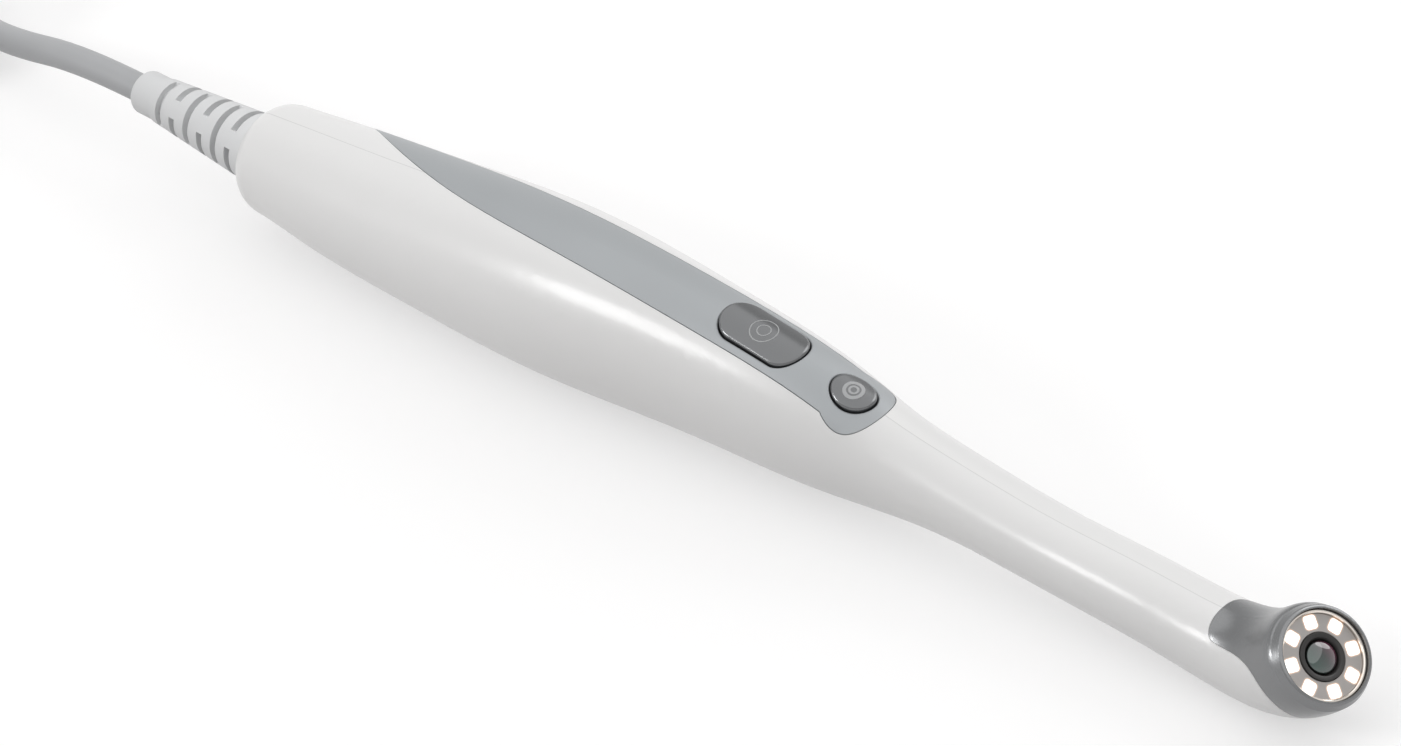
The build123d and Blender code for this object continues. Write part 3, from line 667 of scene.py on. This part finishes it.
# Rounded strips set out in a row
def pinTree(look, material):
    tree = bpy.data.node_groups.new("contactPins", "GeometryNodeTree")
    tree.interface.new_socket("Geometry", in_out="OUTPUT", socket_type="NodeSocketGeometry")
    for name, value in look.items():
        kind = {tuple: "NodeSocketVector", int: "NodeSocketInt", float: "NodeSocketFloat"}[type(value)]
        tree.interface.new_socket(name, in_out="INPUT", socket_type=kind)
    values = tree.nodes.new("NodeGroupInput").outputs
    last = tree.nodes.new("NodeGroupOutput")
    made = {}
    for kind in ("CurvePrimitiveQuadrilateral", "FilletCurve", "FillCurve", "FlipFaces", "ExtrudeMesh", "JoinGeometry",
                 "MergeByDistance", "MeshLine", "InstanceOnPoints", "RealizeInstances", "SetMaterial"):
        made[kind] = tree.nodes.new("GeometryNode" + kind)
    if "Mode" in made["FilletCurve"].inputs:
        made["FilletCurve"].inputs["Mode"].default_value = "Poly"
    else:
        made["FilletCurve"].mode = "POLY"
    made["FilletCurve"].inputs["Count"].default_value = 4
    if "Mode" in made["FillCurve"].inputs:
        made["FillCurve"].inputs["Mode"].default_value = "N-gons"
    else:
        made["FillCurve"].mode = "NGONS"
    made["ExtrudeMesh"].inputs["Individual"].default_value = False
    made["MergeByDistance"].inputs["Distance"].default_value = 0.001 * mm
    made["SetMaterial"].inputs["Material"].default_value = material
    made["MeshLine"].mode = "OFFSET"
    links = [
        (values["Length"], "CurvePrimitiveQuadrilateral", "Width"), (values["Width"], "CurvePrimitiveQuadrilateral", "Height"),
        (made["CurvePrimitiveQuadrilateral"].outputs["Curve"], "FilletCurve", "Curve"), (values["Corner"], "FilletCurve", "Radius"),
        (made["FilletCurve"].outputs["Curve"], "FillCurve", "Curve"),
        (made["FillCurve"].outputs["Mesh"], "ExtrudeMesh", "Mesh"), (values["Thickness"], "ExtrudeMesh", "Offset Scale"),
        (made["FillCurve"].outputs["Mesh"], "FlipFaces", "Mesh"),
        (made["FlipFaces"].outputs["Mesh"], "JoinGeometry", "Geometry"), (made["ExtrudeMesh"].outputs["Mesh"], "JoinGeometry", "Geometry"),
        (made["JoinGeometry"].outputs["Geometry"], "MergeByDistance", "Geometry"),
        (values["Count"], "MeshLine", "Count"), (values["Start"], "MeshLine", "Start Location"), (values["Step"], "MeshLine", "Offset"),
        (made["MeshLine"].outputs["Mesh"], "InstanceOnPoints", "Points"),
        (made["MergeByDistance"].outputs["Geometry"], "InstanceOnPoints", "Instance"),
        (made["InstanceOnPoints"].outputs["Instances"], "RealizeInstances", "Geometry"),
        (made["RealizeInstances"].outputs["Geometry"], "SetMaterial", "Geometry"),
    ]
    for output, target, socket in links:
        tree.links.new(output, made[target].inputs[socket])
    tree.links.new(made["SetMaterial"].outputs["Geometry"], last.inputs["Geometry"])
    return tree


def makePins(look):
    piece = newPiece("contactPins", bpy.data.meshes.new("contactPins"), finish["pinGold"])
    tree = pinTree(look, finish["pinGold"])
    modifier = piece.modifiers.new("pins", "NODES")
    modifier.node_group = tree
    for item in tree.interface.items_tree:
        if item.in_out == "INPUT":
            modifier[item.identifier] = look[item.name]
    scene.view_layers[0].update()
    result = bpy.data.meshes.new_from_object(piece.evaluated_get(bpy.context.evaluated_depsgraph_get()))
    piece.modifiers.clear()
    piece.data = result
    result.name = "contactPinsMesh"
    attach(piece, "wand")
    print("pins:", len(result.vertices), "points", len(result.materials), "finish")
    return piece


pins = makePins(pinLook)
print("plug has its pins")

# Every CAD node gets its finish from its slot in the record
for entry in frame["record"]["subparts"]:
    thing = nodes[entry["node"]]
    thing.data.materials.clear()
    thing.data.materials.append(finish[entry["material_slot"]])

cord.data.materials.append(finish["cord"])
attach(cord, "wand")
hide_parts("cord", "cord_coil", "cord_tail")
print("every piece has its finish")
